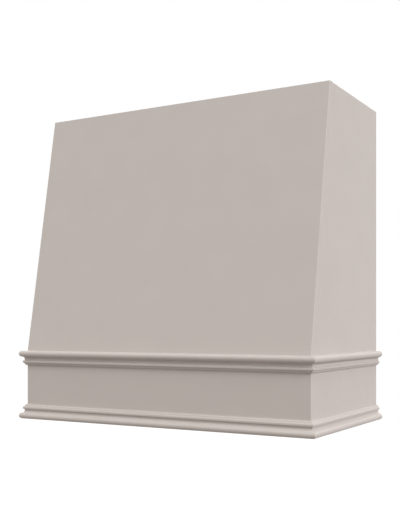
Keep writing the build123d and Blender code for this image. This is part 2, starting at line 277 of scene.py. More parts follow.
# %% Sprayed coat
tone_drift = 0.015  # how far the tone strays from the colour of the paint
satin = (0.47, 0.53)  # roughness
fibre_share = 0.35  # of the grain in the relief, beside the peel

sprayed_coat, given, end = new_group(
    "sprayed_coat",
    {"Vector": "Vector", "Paint": "Color"},
    {"Color": "Color", "Roughness": "Float", "Height": "Float"},
)
tone = stretched_noise(sprayed_coat, given["Vector"], (9, 9, 9))
sheen = stretched_noise(sprayed_coat, given["Vector"], (35, 35, 35))
peel = stretched_noise(sprayed_coat, given["Vector"], (420, 420, 420), detail=1)
fibres = stretched_noise(sprayed_coat, given["Vector"], (10, 320, 320))
value = vary(sprayed_coat, tone, 1 - tone_drift, 1 + tone_drift)
tint = add_node(sprayed_coat, "HueSaturation", {"Color": given["Paint"], "Value": value})
send(
    sprayed_coat,
    end,
    Color=tint.outputs[0],
    Roughness=vary(sprayed_coat, sheen, *satin),
    Height=calc(sprayed_coat, "MULTIPLY_ADD", fibres, fibre_share, peel),
)

# %% [markdown]
# ## Groups for the bare wood
#
# Inside, nothing is painted. The boards and rails are plywood, so their faces show
# veneer and their edges show the plies, one with the grain and the next across it.
# The cleats are solid poplar, pale with green streaks. Both are made as solids in
# three dimensions: the grain runs along X of the pattern, and Z is the depth in the
# board. An edge then shows what the saw would show there, with no seam at a corner.
#
# A veneer is peeled off a turning log, so its growth lines wander like the height
# lines of a map. That is also how they are made: a smooth noise is the height, and a
# sine of it draws a line at each step.

# %% Plywood, the face
growth_lines = 75  # the sine runs through this many radians
pale_face, warm_face = (0.69, 0.53, 0.35, 1), (0.62, 0.45, 0.275, 1)
late_wood, fleck = (0.52, 0.35, 0.19, 1), (0.36, 0.22, 0.11, 1)

plywood, given, end = new_group(
    "plywood", {"Vector": "Vector", "Normal": "Vector"}, {"Color": "Color", "Height": "Float"}
)
growth = stretched_noise(plywood, given["Vector"], (0.55, 5.5, 5.5), detail=1, distortion=0.3)
lines = calc(plywood, "SINE", calc(plywood, "MULTIPLY", growth, growth_lines))
fibre = stretched_noise(plywood, given["Vector"], (22, 800, 800), detail=3)
flecks = stretched_noise(plywood, given["Vector"], (110, 1300, 1300), detail=1)
patch = stretched_noise(plywood, given["Vector"], (1.6, 7, 7))
face = mottle(plywood, patch, pale_face, warm_face)
face = blend_colours(plywood, rescale(plywood, lines, 0.1, 1, 0, 0.42), face, late_wood)
face = blend_colours(plywood, rescale(plywood, fibre, 0.42, 0.75, 0, 0.45), face, late_wood)
face = blend_colours(plywood, rescale(plywood, flecks, 0.66, 0.74, 0, 0.5), face, fleck)

# %% [markdown]
# The edge shows seven plies with dark lines of glue between them. They are counted
# by the depth in the board. An even one lies along the grain and an odd one across it,
# so one of the two shows its end grain, which is darker and full of pores. Which of the
# two it is depends on the way the edge looks. The face pattern then covers what looks
# along the depth.

# %% Plywood, the edge
board, plies = 0.01905, 7  # thickness of the boards in metres, and how many veneers it has
ply_wander = 0.12  # how far a ply strays, as a part of its thickness
glue_line = 0.04  # half its thickness, in the same parts
glue_dark = (0.2, 0.11, 0.06, 1)
end_light, end_dark = (0.47, 0.31, 0.17, 1), (0.30, 0.18, 0.09, 1)
side_light, side_dark = (0.72, 0.54, 0.34, 1), (0.55, 0.37, 0.20, 1)

spot = add_node(plywood, "SeparateXYZ", {0: given["Vector"]}).outputs
facing = add_node(plywood, "SeparateXYZ", {0: given["Normal"]}).outputs
layer = calc(plywood, "DIVIDE", spot["Z"], board / plies)
wander = stretched_noise(plywood, given["Vector"], (25, 25, 25))
layer = calc(plywood, "ADD", layer, rescale(plywood, wander, 0, 1, -ply_wander, ply_wander))
crosswise = calc(plywood, "FLOORED_MODULO", calc(plywood, "FLOOR", layer), 2)
on_end = calc(plywood, "GREATER_THAN", calc(plywood, "ABSOLUTE", facing["X"]), 0.5)
end_grain = calc(plywood, "ABSOLUTE", calc(plywood, "SUBTRACT", on_end, crosswise))
pores = stretched_noise(plywood, given["Vector"], (1500, 1500, 1500), detail=1)
dark_ply = blend_colours(plywood, pores, end_dark, end_light)
light_ply = blend_colours(plywood, fibre, side_light, side_dark)
edge = blend_colours(plywood, end_grain, light_ply, dark_ply)
seam = calc(plywood, "ABSOLUTE", calc(plywood, "SUBTRACT", calc(plywood, "FRACT", layer), 0.5))
glued = calc(plywood, "GREATER_THAN", seam, 0.5 - glue_line)
edge = blend_colours(plywood, glued, edge, glue_dark)

on_face = calc(plywood, "GREATER_THAN", calc(plywood, "ABSOLUTE", facing["Z"]), 0.8)
relief = calc(plywood, "MULTIPLY_ADD", end_grain, calc(plywood, "MULTIPLY", pores, 0.8), fibre)
send(plywood, end, Color=blend_colours(plywood, on_face, edge, face), Height=relief)

# %% [markdown]
# Poplar is solid wood, so its rings are cylinders round the middle of the tree, much
# longer than they are wide, and a wave texture draws them. A slow noise along the grain
# lays the green streaks, and the sawn ends drink more light.

# %% Poplar
early_pale, late_pale = (0.68, 0.57, 0.37, 1), (0.58, 0.46, 0.27, 1)
early_green, late_green = (0.47, 0.44, 0.27, 1), (0.39, 0.36, 0.20, 1)
fibre_brown, sawn_shade = (0.36, 0.26, 0.14, 1), (0.68, 0.60, 0.52, 1)

poplar, given, end = new_group(
    "poplar", {"Vector": "Vector", "Normal": "Vector"}, {"Color": "Color", "Height": "Float"}
)
facing = add_node(poplar, "SeparateXYZ", {0: given["Normal"]}).outputs
slow = add_node(
    poplar, "VectorMath", {0: given["Vector"], 1: (0.06, 1, 1)}, operation="MULTIPLY"
)
rings = add_node(
    poplar,
    "TexWave",
    {"Vector": slow.outputs[0], "Scale": 48, "Distortion": 9, "Detail": 2, "Detail Scale": 1.1},
    wave_type="RINGS",
    rings_direction="X",
).outputs["Fac"]
rings = calc(poplar, "POWER", rings, 2.5)  # late wood is a thin line in a wide pale ring
fibre = stretched_noise(poplar, given["Vector"], (25, 1100, 1100), detail=3)
streak = stretched_noise(poplar, given["Vector"], (1.2, 34, 34), distortion=0.4)
pale = blend_colours(poplar, rings, early_pale, late_pale)
green = blend_colours(poplar, rings, early_green, late_green)
wood = blend_colours(poplar, rescale(poplar, streak, 0.52, 0.72, 0, 1), pale, green)
wood = blend_colours(poplar, rescale(poplar, fibre, 0.35, 0.75, 0, 0.3), wood, fibre_brown)
on_end = calc(poplar, "GREATER_THAN", calc(poplar, "ABSOLUTE", facing["X"]), 0.7)
sawn = blend_colours(poplar, 1.0, wood, sawn_shade, "MULTIPLY")
send(poplar, end, Color=blend_colours(poplar, on_end, wood, sawn), Height=fibre)

# %% [markdown]
# ## Overspray
#
# The spray gun was held outside, but its mist drifts over the open edges and settles
# on the bare wood beside them: thick at the edge, then speckles, then nothing. The
# group gets the distance to the sprayed edge and says how much paint is there.

# %% Overspray
drift_share = 0.9  # how much the slow drift counts beside the fine speckles
held_back = 0.35  # taken off, so that the speckles end within the reach
soft_step, thickest = 0.35, 0.9

overspray, given, end = new_group(
    "overspray", {"Vector": "Vector", "Distance": "Float", "Reach": "Float"}, {"Cover": "Float"}
)
near = calc(overspray, "DIVIDE", given["Distance"], given["Reach"])
speckle = stretched_noise(overspray, given["Vector"], (650, 650, 650), detail=3)
drift = stretched_noise(overspray, given["Vector"], (28, 28, 28))
cover = calc(overspray, "MULTIPLY_ADD", drift, drift_share, speckle)
cover = calc(overspray, "SUBTRACT", cover, held_back)
cover = calc(overspray, "SUBTRACT", cover, near)
send(overspray, end, Cover=rescale(overspray, cover, 0.0, soft_step, 0.0, thickest))

# %% [markdown]
# ## Materials of the boards
#
# The sizes that the patterns and the new pieces need are read off the solids, so that
# nothing has to be typed twice. A few helpers come next: one turns the pattern so that
# the grain and the plies lie as in the real board, one places a group, one starts a
# material, one finishes it, and one finds the faces that look a given way.

# %% Sizes and directions
half_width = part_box("side_panel_right")[1].x
apron_front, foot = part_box("apron_board")[0].yz
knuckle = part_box("apron_board")[1].z  # where the front starts to lean back
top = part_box("front_panel")[1].z
shelf_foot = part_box("liner_shelf")[0].z
to_left, to_right, to_front, inwards = (-1, 0, 0), (1, 0, 0), (0, -1, 0), (0, 1, 0)
up, down = (0, 0, 1), (0, 0, -1)
print("half width", round(half_width, 4), "foot", round(foot, 4), "knuckle", round(knuckle, 4))

# %% Helpers for materials
from mathutils import Matrix


def lay_pattern(tree, point, grain, depth):
    """Coordinates and normal turned so that X runs along the grain and Z into the board."""
    grain, depth = Vector(grain).normalized(), Vector(depth).normalized()
    turn = Matrix((grain, depth.cross(grain), depth))
    given = add_node(tree, "TexCoord").outputs
    turned = {"Rotation": turn.to_euler()}
    moved = {"Location": -(turn @ Vector(point))}
    vector = add_node(tree, "Mapping", {"Vector": given["Object"]} | turned | moved)
    way = {"Vector": given["Normal"]} | turned
    normal = add_node(tree, "Mapping", way, vector_type="VECTOR")
    return given, vector.outputs[0], normal.outputs[0]


def use_group(tree, group, inputs):
    """Place a node group in a material and feed it."""
    return add_node(tree, "Group", inputs, node_tree=group).outputs


def new_material(name):
    """An empty material; returns it, its tree and its Principled node."""
    material = bpy.data.materials.new(name)
    material.use_nodes = True
    return material, material.node_tree, material.node_tree.nodes["Principled BSDF"]


def finish_surface(tree, shader, colour, roughness, height, depth):
    """Feed the Principled node; depth is how deep the relief is, in metres."""
    relief = add_node(tree, "Bump", {"Height": height, "Distance": depth, "Strength": 1.0})
    feed(tree, shader.inputs["Base Color"], colour)
    feed(tree, shader.inputs["Roughness"], roughness)
    feed(tree, shader.inputs["Normal"], relief.outputs[0])


def facing_any(tree, normal, ways):
    """1 where the surface looks one of these ways."""
    found = 0.0
    for way in ways:
        towards = add_node(tree, "VectorMath", {0: normal, 1: way}, operation="DOT_PRODUCT")
        looks = calc(tree, "GREATER_THAN", towards.outputs["Value"], 0.5)
        found = calc(tree, "MAXIMUM", looks, found)
    return found


# %% [markdown]
# Masks say where one finish ends and the next starts. They are sums over the place of a
# point, so that they need no painting by hand: how far it is from an open edge, or from
# the sharp edge of a hanging cleat, where a dark line of painted seam shade, partly rubbed wood,
# lies.

# %% Masks
def distance_to(tree, spot, axis, place):
    """How far a point is from a place on an axis."""
    return calc(tree, "ABSOLUTE", calc(tree, "SUBTRACT", spot[axis], place))


def seam_shade_and_rub_line(tree, spot, height, fibres):
    """Painted shade in a seam at a height along a sharp edge at the wall, partly rubbed wood."""
    frayed, dark_within, gone_beyond = 0.0004, 0.0003, 0.0009  # metres
    away = distance_to(tree, spot, "Z", height)
    away = calc(tree, "MAXIMUM", away, calc(tree, "ABSOLUTE", spot["Y"]))
    away = calc(tree, "MULTIPLY_ADD", fibres, frayed, away)
    return rescale(tree, away, dark_within, gone_beyond, 0.8, 0)


def choose(tree, mask, first, second):
    """The first value where the mask is 0, and the second where it is 1."""
    inputs = {"Value": mask, "To Min": first, "To Max": second}
    return add_node(tree, "MapRange", inputs).outputs[0]


# %% [markdown]
# One function makes the material of a board. It lays bare wood, and paints the faces
# that look a given way. The paint also covers the low rim inside, which is seen from
# the kitchen below the shelf. Where an edge is open, mist is laid along it, less on the
# faces that are turned away from the spray gun. A board is a solid that has the right
# shape already, so it keeps it and only gets this material.

# %% Material of a board
paint_colour = (0.508, 0.462, 0.425, 1)
# colour of the seam line: painted shade between the cleat halves, partly rubbed wood
seam_shade_and_rub_colour = (0.14, 0.085, 0.045, 1)
bare_roughness = 0.72
board_relief = 0.00005


def board_material(name, point, grain, depth, painted, wood=plywood, edges=(), seam_shade_and_rub_height=None):
    """Bare wood inside, the sprayed coat outside, and mist from the open edges between.

    Painted is a list of ways that painted faces look, an edge is (axis, place, reach of
    the mist), and the last is the height of a seam drawn dark: painted shade, partly rubbed wood.
    """
    material, tree, shader = new_material(name)
    given, vector, normal = lay_pattern(tree, point, grain, depth)
    bare = use_group(tree, wood, {"Vector": vector, "Normal": normal})
    coat = use_group(tree, sprayed_coat, {"Vector": vector, "Paint": paint_colour})
    spot = add_node(tree, "SeparateXYZ", {0: given["Object"]}).outputs
    turned_away = facing_any(tree, given["Normal"], [inwards, up])
    low_rim = calc(tree, "SUBTRACT", calc(tree, "LESS_THAN", spot["Z"], shelf_foot), turned_away)
    coated = calc(tree, "MAXIMUM", facing_any(tree, given["Normal"], painted), low_rim)
    covered = coated
    for axis, place, reach in edges:
        away = distance_to(tree, spot, axis, place)
        away = calc(tree, "MULTIPLY_ADD", turned_away, 0.5 * reach, away)
        inputs = {"Vector": given["Object"], "Distance": away, "Reach": reach}
        mist = use_group(tree, overspray, inputs)
        covered = calc(tree, "MAXIMUM", covered, mist["Cover"])
    colour = blend_colours(tree, covered, bare["Color"], coat["Color"])
    # a dark line where the halves of the hanging cleat meet: painted shade, partly rubbed wood
    if seam_shade_and_rub_height is not None:
        dark = seam_shade_and_rub_line(tree, spot, seam_shade_and_rub_height, bare["Height"])
        colour = blend_colours(tree, dark, colour, seam_shade_and_rub_colour)
    roughness = choose(tree, coated, bare_roughness, coat["Roughness"])
    height = choose(tree, coated, bare["Height"], coat["Height"])
    finish_surface(tree, shader, colour, roughness, height, board_relief)
    return material


def dress(material, *names):
    """Give CAD nodes a material, and leave their shape alone."""
    for name in names:
        nodes[name].material_slots[0].material = material
    print(material.name, "on", ", ".join(names))


# %% [markdown]
# ## The boards
#
# The grain runs up the front and the sides, and along the apron and the shelf. The front
# leans back, so its pattern lies in the same sloping plane. Mist drifts over the open
# edges at the top and at the wall, and into the cut-out of the shelf.

# %% Boards
leaned_back = 0.127  # how far the top of the front lies behind its foot
lean = leaned_back / (top - knuckle)
slope_in = Vector((0, 1, -lean)).normalized()
slope_up = Vector((0, lean, 1)).normalized()
outside = [to_left, to_right, to_front]
knuckle_line = (0, apron_front, knuckle)
mist_top = ("Z", top, 0.035)
mist_wall = ("Y", 0.0, 0.03)
mist_foot = ("Z", shelf_foot, 0.006)

front_board = board_material(
    "front_board", knuckle_line, slope_up, slope_in, outside, edges=[mist_top]
)
dress(front_board, "front_panel")
apron_wood = board_material("apron_wood", knuckle_line, to_right, inwards, outside + [down])
dress(apron_wood, "apron_board")
for side, outwards, sign in (("left", to_left, -1), ("right", to_right, 1)):
    side_board = board_material(
        f"side_board_{side}",
        (sign * half_width, 0, 0),
        up,
        (-sign, 0, 0),
        [outwards, down],
        edges=[mist_top, mist_wall],
    )
    dress(side_board, f"side_panel_{side}")
shelf_board = board_material(
    "shelf_board", (0, 0, shelf_foot), to_right, up, [down], edges=[mist_foot]
)
dress(shelf_board, "liner_shelf")

# %% [markdown]
# ## Materials of the rails, cleats and blocks
#
# The rails are strips of the same plywood, and the small cleats and blocks are poplar.
# Their grain runs along them. Each material starts its pattern at its own point,
# because two pieces that meet, such as the two halves of the hanging cleat, weren't
# cut side by side from one board. Along the sharp edges on which those halves slide over
# each other a dark line is painted: shade in the seam, partly rubbed wood. It shows where the one
# ends and the other starts.

# %% Rails and cleats
hook_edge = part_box("hanging_rail")[0].z
# the dark line at the hook edge is painted shade in the seam, partly rubbed wood
rail_wood = board_material("rail_wood", (0, 0, 0), to_right, to_front, [], seam_shade_and_rub_height=hook_edge)
dress(rail_wood, "hanging_rail", "lower_rear_rail")
another_start = (1.3, 0, 0.4)
cleat_wood = board_material("cleat_wood", another_start, to_right, to_front, [], seam_shade_and_rub_height=hook_edge)
dress(cleat_wood, "wall_cleat")
inside_slope = Vector(knuckle_line) + slope_in * board
top_rail_wood = board_material(
    "top_rail_wood", inside_slope, to_right, slope_in, [], edges=[mist_top]
)
dress(top_rail_wood, "top_front_rail")

pith = (0.0, -0.40, -0.70)  # the middle of the tree, beside the pieces cut from it
blocks = ["apron_corner_block_left", "apron_corner_block_right"]
for name, point, grain, depth, pieces in (
    ("across", pith, to_right, inwards, ["knuckle_rail", "shelf_cleat_front"]),
    ("inwards", (0.1, 0, -0.7), inwards, to_right, ["shelf_cleat_left", "shelf_cleat_right"]),
    ("upright", (0, -0.43, 0), slope_up, slope_in, ["corner_cleat_left", "corner_cleat_right"]),
    ("standing", (0, -0.4, 0), up, inwards, blocks),
):
    dress(board_material(f"poplar_{name}", point, grain, depth, [], wood=poplar), *pieces)

# %% [markdown]
# ## Modelling by operators
#
# The new pieces are modelled with the operators that the menus call. By hand one looks
# and clicks. In code every step first says what is selected, because an operator acts
# on all that is selected, and edges are picked by where they lie.

# %% Helpers for modelling
import bmesh

hair = 1e-5  # metres; what lies nearer than this is in the same place


def start_clean():
    """Leave edit mode and deselect everything, the solids of the frame too."""
    if bpy.context.mode != "OBJECT":
        bpy.ops.object.mode_set(mode="OBJECT")
    bpy.ops.object.select_all(action="DESELECT")


def select_only(*pieces):
    """Select these objects and nothing else, and make the first one active."""
    start_clean()
    for piece in pieces:
        piece.select_set(True)
    bpy.context.view_layer.objects.active = pieces[0]


def edit(piece):
    """Open a piece in edit mode with nothing selected."""
    select_only(piece)
    bpy.ops.object.mode_set(mode="EDIT")
    bpy.ops.mesh.select_all(action="DESELECT")


def pick_edges(piece, test):
    """In edit mode, select the edges whose two ends, as points, pass a test."""
    bpy.ops.mesh.select_all(action="DESELECT")
    bpy.ops.mesh.select_mode(type="EDGE")
    mesh = bmesh.from_edit_mesh(piece.data)
    for edge in mesh.edges:
        if test(*(end.co for end in edge.verts)):
            edge.select_set(True)
    bmesh.update_edit_mesh(piece.data)


def settle(piece, name, smooth_below=40):
    """Leave edit mode, name the piece, apply its place and shade it."""
    select_only(piece)
    piece.name = piece.data.name = name
    bpy.ops.object.transform_apply(location=True, rotation=True, scale=True)
    bpy.ops.object.shade_smooth_by_angle(angle=math.radians(smooth_below))
    return piece


# %% [markdown]
# ## The mouldings
#
# Two mouldings run round the cover. They were cut from one stick whose section has a
# large half round, a hollow, a narrow raised band and a quarter round that meets the
# board. The section is drawn as the maker of the cutter would set it out: a point is
# spun round the middle of an arc or pulled straight on, one step after the other. The
# closed outline is then pulled out to a stick. Drawing it this way gives exact arcs
# and few, even faces, which a carved block wouldn't have.

# %% Draw an outline
def draw_stick(name, first, outline, length=1.1):
    """Draw a closed outline from its first point, and pull it out along X.

    Points are (out from the board, along the board). A step of the outline is either a
    point to go straight to, or an arc, as (middle, degrees, number of faces).
    """
    start_clean()
    bpy.ops.mesh.primitive_plane_add(size=0.001, location=(0, 0, 0))
    stick = bpy.context.object
    bpy.ops.object.mode_set(mode="EDIT")
    bpy.ops.mesh.select_mode(type="VERT")
    bpy.ops.mesh.select_all(action="SELECT")
    bpy.ops.mesh.merge(type="CENTER")  # one point is left, and the outline is drawn with it
    bpy.ops.transform.translate(value=(-length / 2, -first[0], first[1]))
    for step in outline:
        if len(step) == 3:
            (out, along), degrees, faces = step
            middle, turn = (0, -out, along), math.radians(degrees)
            bpy.ops.mesh.spin(steps=faces, angle=turn, center=middle, axis=(1, 0, 0))
        else:
            out, along = step
            ends = [end.co for end in bmesh.from_edit_mesh(stick.data).verts if end.select]
            move = Vector((-length / 2, -out, along)) - ends[0]
            bpy.ops.mesh.extrude_region_move(TRANSFORM_OT_translate={"value": move})
    bpy.ops.mesh.select_all(action="SELECT")
    bpy.ops.mesh.edge_face_add()
    bpy.ops.mesh.extrude_region_move(TRANSFORM_OT_translate={"value": (length, 0, 0)})
    bpy.ops.mesh.select_all(action="SELECT")
    bpy.ops.mesh.normals_make_consistent(inside=False)
    bpy.ops.object.mode_set(mode="OBJECT")
    stick.name = name
    return stick


# %% Draw the section
moulding_depth, moulding_height = 0.0185, 0.04445
nose, cove, quarter = 0.0090, 0.0062, 0.0054  # radii, in metres
cove_floor = 0.0062  # wood behind the bottom of the hollow
past_floor = 15  # degrees that the hollow goes on beyond its bottom
band_out, band_start, band_end = 0.0100, 0.0292, 0.0373
eased = 0.0012  # radius of the band's edge at the hollow
land = 0.0007  # a thin upright edge is left where the moulding ends
rounded = band_out - land - quarter  # so that its other edge meets the quarter round

nose_middle = Vector((moulding_depth - nose, nose))
cove_out = cove_floor + cove
cove_rise = math.sqrt((nose + cove) ** 2 - (cove_out - nose_middle.x) ** 2)
cove_middle = nose_middle + Vector((cove_out - nose_middle.x, cove_rise))
to_cove = math.degrees(math.atan2(cove_rise, cove_out - nose_middle.x))
cove_end = cove_out - cove * math.cos(math.radians(past_floor))
moulding_stick = draw_stick(
    "moulding_stick",
    (nose_middle.x, 0),
    [
        (nose_middle, 90 + to_cove, 24),
        (cove_middle, -to_cove - past_floor, 16),
        (cove_end, band_start),
        (band_out - eased, band_start),
        ((band_out - eased, band_start + eased), 90, 8),
        (band_out, band_end - rounded),
        ((band_out - rounded, band_end - rounded), 90, 12),
        ((land, band_end), 90, 10),
        (land, moulding_height),
        (0, moulding_height),
        (0, 0),
    ],
)

# %% [markdown]
# Primer and paint gather in an inner corner, and no cutter leaves one quite sharp. So
# the two inner corners of the section, on either side of the raised band, are rounded.

# %% Let paint round the inner corners
gathered = 0.0004
for corner in (Vector((-cove_end, band_start)), Vector((-land - quarter, band_end))):
    edit(moulding_stick)
    pick_edges(
        moulding_stick, lambda a, b: max((end.yz - corner).length for end in (a, b)) < hair
    )
    bpy.ops.mesh.bevel(offset=gathered, segments=3)
    bpy.ops.object.mode_set(mode="OBJECT")
print("section:", len(moulding_stick.data.polygons) - 2, "faces round, radii in mm:")
print([round(radius * 1000, 2) for radius in (nose, cove, eased, rounded, quarter)])

# %% [markdown]
# ## Laying a course
#
# A course is one run across the front and one along each side, with mitres at the two
# front corners. A mitre is sawn by the bisect operator, which also closes the cut. A
# hair of the edge is planed off, because in the real thing two painted edges meet there.

# %% Saw off an end
corners = {
    "left": Vector((-half_width, apron_front, 0)),
    "right": Vector((half_width, apron_front, 0)),
}
mitres = {"left": Vector((-1, 1, 0)), "right": Vector((1, 1, 0))}  # away from the front run


def cut(run, point, away, ease=0.0):
    """Saw off what lies beyond a plane, close the cut, and ease its edge."""
    edit(run)
    bpy.ops.mesh.select_all(action="SELECT")
    bpy.ops.mesh.bisect(plane_co=point, plane_no=away, use_fill=True, clear_outer=True)
    if ease:
        pick_edges(run, lambda a, b: max(abs((end - point).dot(away)) for end in (a, b)) < hair)
        bpy.ops.mesh.bevel(offset=ease, segments=1)
    bpy.ops.object.mode_set(mode="OBJECT")


# %% [markdown]
# Each run is a copy of the stick, turned, put in place and cut: by the mitre planes, and
# by the wall. The upper moulding is the lower one turned upside down. A run is settled
# twice. The cuts are told in the metres of the frame, so its place is applied before
# them, and the new faces are shaded after them.

# %% Lay the runs
def lay_run(stick, name, place, turn, upside_down, cuts):
    """Copy the stick, turn it, put it in place and cut its ends."""
    select_only(stick)
    bpy.ops.object.duplicate()
    run = bpy.context.object
    run.location = place
    run.rotation_euler = (0, math.pi if upside_down else 0, math.radians(turn))
    settle(run, name)
    for point, away, ease in cuts:
        cut(run, point, away, ease)
    return settle(run, name)


def lay_course(stick, name, level, upside_down=False, ease=0.00015):
    """Runs across the front and along both sides; returns them by name."""
    cuts = [(corners[side], mitres[side], ease) for side in corners]
    place = (0, apron_front, level)
    runs = {"front": lay_run(stick, f"{name}_front", place, 0, upside_down, cuts)}
    for side, turn in (("left", -90), ("right", 90)):
        at_wall = (Vector((0, 0, 0)), Vector(inwards), 0)
        cuts = [at_wall, (corners[side], -mitres[side], ease)]
        place = (corners[side].x, apron_front / 2, level)
        runs[side] = lay_run(stick, f"{name}_{side}", place, turn, upside_down, cuts)
    return runs


courses = {
    "lower_moulding": lay_course(moulding_stick, "lower_run", foot),
    "upper_moulding": lay_course(moulding_stick, "upper_run", knuckle, upside_down=True),
}
bpy.data.objects.remove(moulding_stick)

# %% [markdown]
# ## Finish of the mouldings
#
# They are painted like the boards. Only the ends that meet the wall are bare, and
# show the end grain of solid poplar.

# %% Paint the mouldings
end_mist = {"Distance": 0.001, "Reach": 0.0023}  # the same all over the small sawn ends
coat_relief = 0.00004

moulding_finish, tree, shader = new_material("moulding_finish")
given, vector, normal = lay_pattern(tree, (0.3, 0, -0.5), inwards, up)
bare = use_group(tree, poplar, {"Vector": vector, "Normal": normal})
coat = use_group(tree, sprayed_coat, {"Vector": given["Object"], "Paint": paint_colour})
sawn_end = facing_any(tree, given["Normal"], [inwards])
mist = use_group(tree, overspray, {"Vector": given["Object"]} | end_mist)
bared = calc(tree, "MULTIPLY", sawn_end, calc(tree, "SUBTRACT", 1.0, mist["Cover"]))
colour = blend_colours(tree, bared, coat["Color"], bare["Color"])
finish_surface(tree, shader, colour, coat["Roughness"], coat["Height"], coat_relief)
for moulding, runs in courses.items():
    for part, run in runs.items():
        run.data.materials.append(moulding_finish)
        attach(run, "cover")
        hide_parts(f"{moulding}_{part}")
        print(run.name, len(run.data.polygons), "faces")

# %% [markdown]
# ## Filler in the corners
#
# Before painting, a maker runs a fine bead of filler where a moulding meets a board
# and wipes it hollow with a finger. Without it a model shows a black crack, or no
# joint at all. It is laid like the mouldings, from a stick with one hollow arc.

# %% Lay the filler
leg, hidden = 0.0006, 0.0003  # how far it reaches along each face, and into the joint
filler_stick = draw_stick(
    "filler_stick",
    (leg, 0),
    [((leg, leg), -90, 6), (-hidden, leg), (-hidden, -hidden), (leg, -hidden)],
)
for name, level, upside_down in (
    ("filler_upper_ledge", knuckle, False),
    ("filler_upper_foot", knuckle - moulding_height, True),
    ("filler_lower_top", foot + moulding_height, False),
):
    runs = lay_course(filler_stick, name, level, upside_down, ease=0.0)
    select_only(*runs.values())
    bpy.ops.object.join()
    course = settle(bpy.context.object, name)
    course.data.materials.append(moulding_finish)
    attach(course, "cover")
    print(course.name, len(course.data.polygons), "faces")
bpy.data.objects.remove(filler_stick)

# %% [markdown]
# ## Screws
#
# Seventy-one screws hold the cover together. All are driven from inside or from
# below, so that none shows in the painted front. They have a flat head with a square
# recess; the ones in the shelf are countersunk. One model of each length is enough,
# and the copies go where the solids are.
#
# The body of a screw is turned: a filled circle is pulled down ring by ring. Spinning
# an outline gives the same shape, but this way its top is one whole face, which is
# easy to cut the recess into.

# %% Turn a body
def turn_piece(rings, sides=24):
    """Pull a filled circle down through rings of (height, radius), as on a lathe."""
    start_clean()
    height, radius = rings[0]
    bpy.ops.mesh.primitive_circle_add(
        vertices=sides, radius=radius, fill_type="NGON", location=(0, 0, height)
    )
    bpy.ops.object.transform_apply(location=True)
    bpy.ops.object.mode_set(mode="EDIT")
    for (height, radius), (next_height, next_radius) in zip(rings, rings[1:]):
        drop = (0, 0, next_height - height)
        bpy.ops.mesh.extrude_region_move(TRANSFORM_OT_translate={"value": drop})
        size = next_radius / radius
        bpy.ops.transform.resize(value=(size, size, 1), center_override=(0, 0, next_height))
    bpy.ops.mesh.select_all(action="SELECT")
    bpy.ops.mesh.normals_make_consistent(inside=False)
    bpy.ops.object.mode_set(mode="OBJECT")
    return bpy.context.object


# %% [markdown]
# The recess is square and a little narrower at its bottom, so that the driver wedges in
# it. It is cut with a peg of that shape by the Boolean modifier.

# %% Cut the recess
def apply_modifier(piece, kind, **settings):
    """Add a modifier, set it and apply it."""
    select_only(piece)
    modifier = piece.modifiers.new(kind.lower(), kind)
    for name, value in settings.items():
        setattr(modifier, name, value)
    bpy.ops.object.modifier_apply(modifier=modifier.name)


def cut_recess(screw, top, across=0.0027, depth=0.0015, taper=0.82):
    """Cut the square recess with a peg that is narrower at its tip."""
    start_clean()
    size = (across, across, 2 * depth)
    bpy.ops.mesh.primitive_cube_add(size=1, scale=size, location=(0, 0, top))
    peg = bpy.context.object
    bpy.ops.object.transform_apply(location=True, scale=True)
    edit(peg)
    pick_edges(peg, lambda a, b: max(a.z, b.z) < top)
    bpy.ops.transform.resize(value=(taper, taper, 1), center_override=(0, 0, top - depth))
    bpy.ops.object.mode_set(mode="OBJECT")
    apply_modifier(screw, "BOOLEAN", operation="DIFFERENCE", object=peg, solver="EXACT")
    bpy.data.objects.remove(peg)


# %% [markdown]
# The thread is a triangle that the Screw modifier winds down the core. Its foot is sunk
# into the core, so it needn't be joined to it face by face.

# %% Wind the thread
def wind_thread(start, finish, core, crest, pitch=0.0019, steps=12):
    """A triangle wound down the core from one height to the other."""
    start_clean()
    tooth = (crest - core) / 1.5  # radius of the circle round the triangle
    bpy.ops.mesh.primitive_circle_add(
        vertices=3,
        radius=tooth,
        location=(crest - tooth, 0, start),
        rotation=(math.radians(90), math.radians(90), 0),  # upright, one corner outwards
    )
    thread = bpy.context.object
    bpy.ops.object.transform_apply(location=True, rotation=True)
    turns = int((start - finish) / pitch)
    winding = {"screw_offset": -pitch, "iterations": turns, "steps": steps, "render_steps": steps}
    apply_modifier(thread, "SCREW", **winding)
    edit(thread)
    bpy.ops.mesh.select_all(action="SELECT")
    bpy.ops.mesh.fill_holes(sides=3)
    bpy.ops.mesh.normals_make_consistent(inside=False)
    bpy.ops.object.mode_set(mode="OBJECT")
    return thread


# %% [markdown]
# A screw is then its turned body, with the rim of the head rounded where it isn't
# countersunk, its recess and its thread. Height 0 is where it bears on the wood, so
# that a copy can be put on the wood without any sum.

